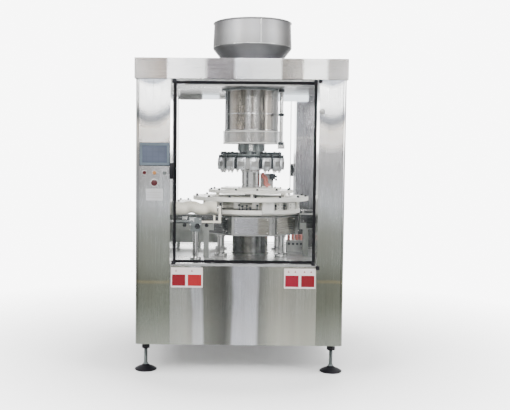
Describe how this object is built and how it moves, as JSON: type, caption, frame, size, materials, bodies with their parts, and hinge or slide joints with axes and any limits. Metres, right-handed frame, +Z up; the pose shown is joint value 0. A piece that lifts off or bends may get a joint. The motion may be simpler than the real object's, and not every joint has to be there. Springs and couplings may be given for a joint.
{
  "type": "rotary capsule filling machine",
  "caption": "Glazed stainless cabinet on levelling feet with a roof hopper, dosing drum, station turret, star-wheel table and infeed timing screw.",
  "frame": {"origin": "on the floor, under the middle of the machine's box", "axes": "+Z up; the front door and control panel face -Y; +X is to the right seen from the front"},
  "size_m": [1.36, 1.38, 2.349],
  "materials": {
    "brushed_stainless": "vertical brushed grain",
    "polished_stainless": "bright turned and polished",
    "machined_aluminium": "machined, satin anodised",
    "painted_steel": "grey powder coat",
    "white_polyethylene": "milled white sheet",
    "cream_polymer": "turned cream plastic",
    "black_polymer": "moulded black plastic",
    "black_rubber": "extruded seal",
    "window_glass": "clear, polished edges",
    "clear_polycarbonate": "milky translucent",
    "motor_paint": "blue enamel",
    "screen_bezel": "moulded grey bezel",
    "red_plastic": "glossy moulded",
    "amber_plastic": "glossy moulded"
  },
  "bodies": {
    "cabinet": {"base_plate": "brushed_stainless", "deck_plate": "brushed_stainless", "ceiling_plate": "brushed_stainless", "top_cover": "brushed_stainless", "lower_panel_front": "brushed_stainless", "lower_panel_rear": "brushed_stainless", "lower_panel_left": "brushed_stainless", "lower_panel_right": "brushed_stainless", "pillar_front_left": "brushed_stainless", "pillar_front_right": "brushed_stainless", "pillar_rear_left": "brushed_stainless", "pillar_rear_right": "brushed_stainless", "main_column": "brushed_stainless", "hopper": "polished_stainless", "drum_housing": "polished_stainless", "lift_rod": "polished_stainless", "guide_post": "polished_stainless", "support_post_front_left": "polished_stainless", "support_post_front_right": "polished_stainless", "support_post_rear_left": "polished_stainless", "support_post_rear_right": "polished_stainless", "cross_clamp": "machined_aluminium", "infeed_conveyor": "machined_aluminium", "outfeed_conveyor": "machined_aluminium", "drive_housing": "machined_aluminium", "guide_disc_lower": "white_polyethylene", "guide_disc_main": "white_polyethylene", "guide_disc_top": "white_polyethylene", "infeed_guide_plate": "white_polyethylene", "screw_support_arm": "cream_polymer", "door_hinge_upper": "black_polymer", "door_hinge_lower": "black_polymer", "rear_hinge_post": "black_polymer", "screw_bearing": "black_polymer", "drive_belt": "black_rubber", "side_window_left": "window_glass", "side_window_right": "window_glass", "drum_guard_ring": "clear_polycarbonate", "gearmotor": "motor_paint", "hmi_panel": "screen_bezel"},
    "front_door": {"front_door_seal": "black_rubber", "front_door_glass": "window_glass", "front_door_handle": "black_polymer"},
    "rear_door": {"rear_door_glass": "window_glass", "rear_door_handle": "black_polymer"},
    "turret": {"main_shaft": "polished_stainless", "station_ring": "machined_aluminium", "star_wheel": "white_polyethylene", "shaft_pulley": "machined_aluminium"},
    "plungers": {"plunger_crown": "machined_aluminium"},
    "infeed_screw": {"timing_screw": "cream_polymer"},
    "drive_pulley": {"motor_pulley": "machined_aluminium"},
    "stop_key": {"stop_button": "red_plastic"},
    "start_key": {"start_button": "amber_plastic"},
    "emergency_key": {"emergency_stop": "red_plastic"},
    "selector": {"mode_selector": "black_polymer"},
    "front_left_foot": {"foot_front_left": "black_polymer"},
    "front_right_foot": {"foot_front_right": "black_polymer"},
    "rear_left_foot": {"foot_rear_left": "black_polymer"},
    "rear_right_foot": {"foot_rear_right": "black_polymer"}
  },
  "joints": [
    {"name": "front_door_hinge", "type": "hinge", "parent": "cabinet", "child": "front_door", "pos_m": [0.499, -0.657, 1.3], "axis": [0, 0, 1], "range_deg": [0, 110]},
    {"name": "rear_door_hinge", "type": "hinge", "parent": "cabinet", "child": "rear_door", "pos_m": [-0.499, 0.657, 1.3], "axis": [0, 0, 1], "range_deg": [0, 110]},
    {"name": "turret_spin", "type": "hinge", "parent": "cabinet", "child": "turret", "pos_m": [0.087, 0, 1], "axis": [0, 0, 1], "continuous": true},
    {"name": "plunger_lift", "type": "slide", "parent": "turret", "child": "plungers", "axis": [0, 0, 1], "range_m": [0, 0.02]},
    {"name": "timing_screw_spin", "type": "hinge", "parent": "cabinet", "child": "infeed_screw", "pos_m": [-0.287, -0.38, 1.057], "axis": [1, 0, 0], "continuous": true},
    {"name": "motor_pulley_spin", "type": "hinge", "parent": "cabinet", "child": "drive_pulley", "pos_m": [-0.213, 0, 0.43], "axis": [0, 0, 1], "continuous": true},
    {"name": "stop_button_press", "type": "slide", "parent": "cabinet", "child": "stop_key", "axis": [0, 1, 0], "range_m": [0, 0.004], "stiffness_N_per_m": 800, "springref_m": -0.002},
    {"name": "start_button_press", "type": "slide", "parent": "cabinet", "child": "start_key", "axis": [0, 1, 0], "range_m": [0, 0.004], "stiffness_N_per_m": 800, "springref_m": -0.002},
    {"name": "emergency_stop_press", "type": "slide", "parent": "cabinet", "child": "emergency_key", "axis": [0, 1, 0], "range_m": [0, 0.006]},
    {"name": "mode_selector_turn", "type": "hinge", "parent": "cabinet", "child": "selector", "pos_m": [-0.482, -0.65, 1.294], "axis": [0, 1, 0], "range_deg": [-45, 45]},
    {"name": "front_left_foot_level", "type": "slide", "parent": "cabinet", "child": "front_left_foot", "axis": [0, 0, -1], "range_m": [0, 0.03]},
    {"name": "front_right_foot_level", "type": "slide", "parent": "cabinet", "child": "front_right_foot", "axis": [0, 0, -1], "range_m": [0, 0.03]},
    {"name": "rear_left_foot_level", "type": "slide", "parent": "cabinet", "child": "rear_left_foot", "axis": [0, 0, -1], "range_m": [0, 0.03]},
    {"name": "rear_right_foot_level", "type": "slide", "parent": "cabinet", "child": "rear_right_foot", "axis": [0, 0, -1], "range_m": [0, 0.03]}
  ],
  "couplings": [
    {"joint": "timing_screw_spin", "follows": "turret_spin", "ratio": -16},
    {"joint": "motor_pulley_spin", "follows": "turret_spin", "ratio": 2}
  ]
}
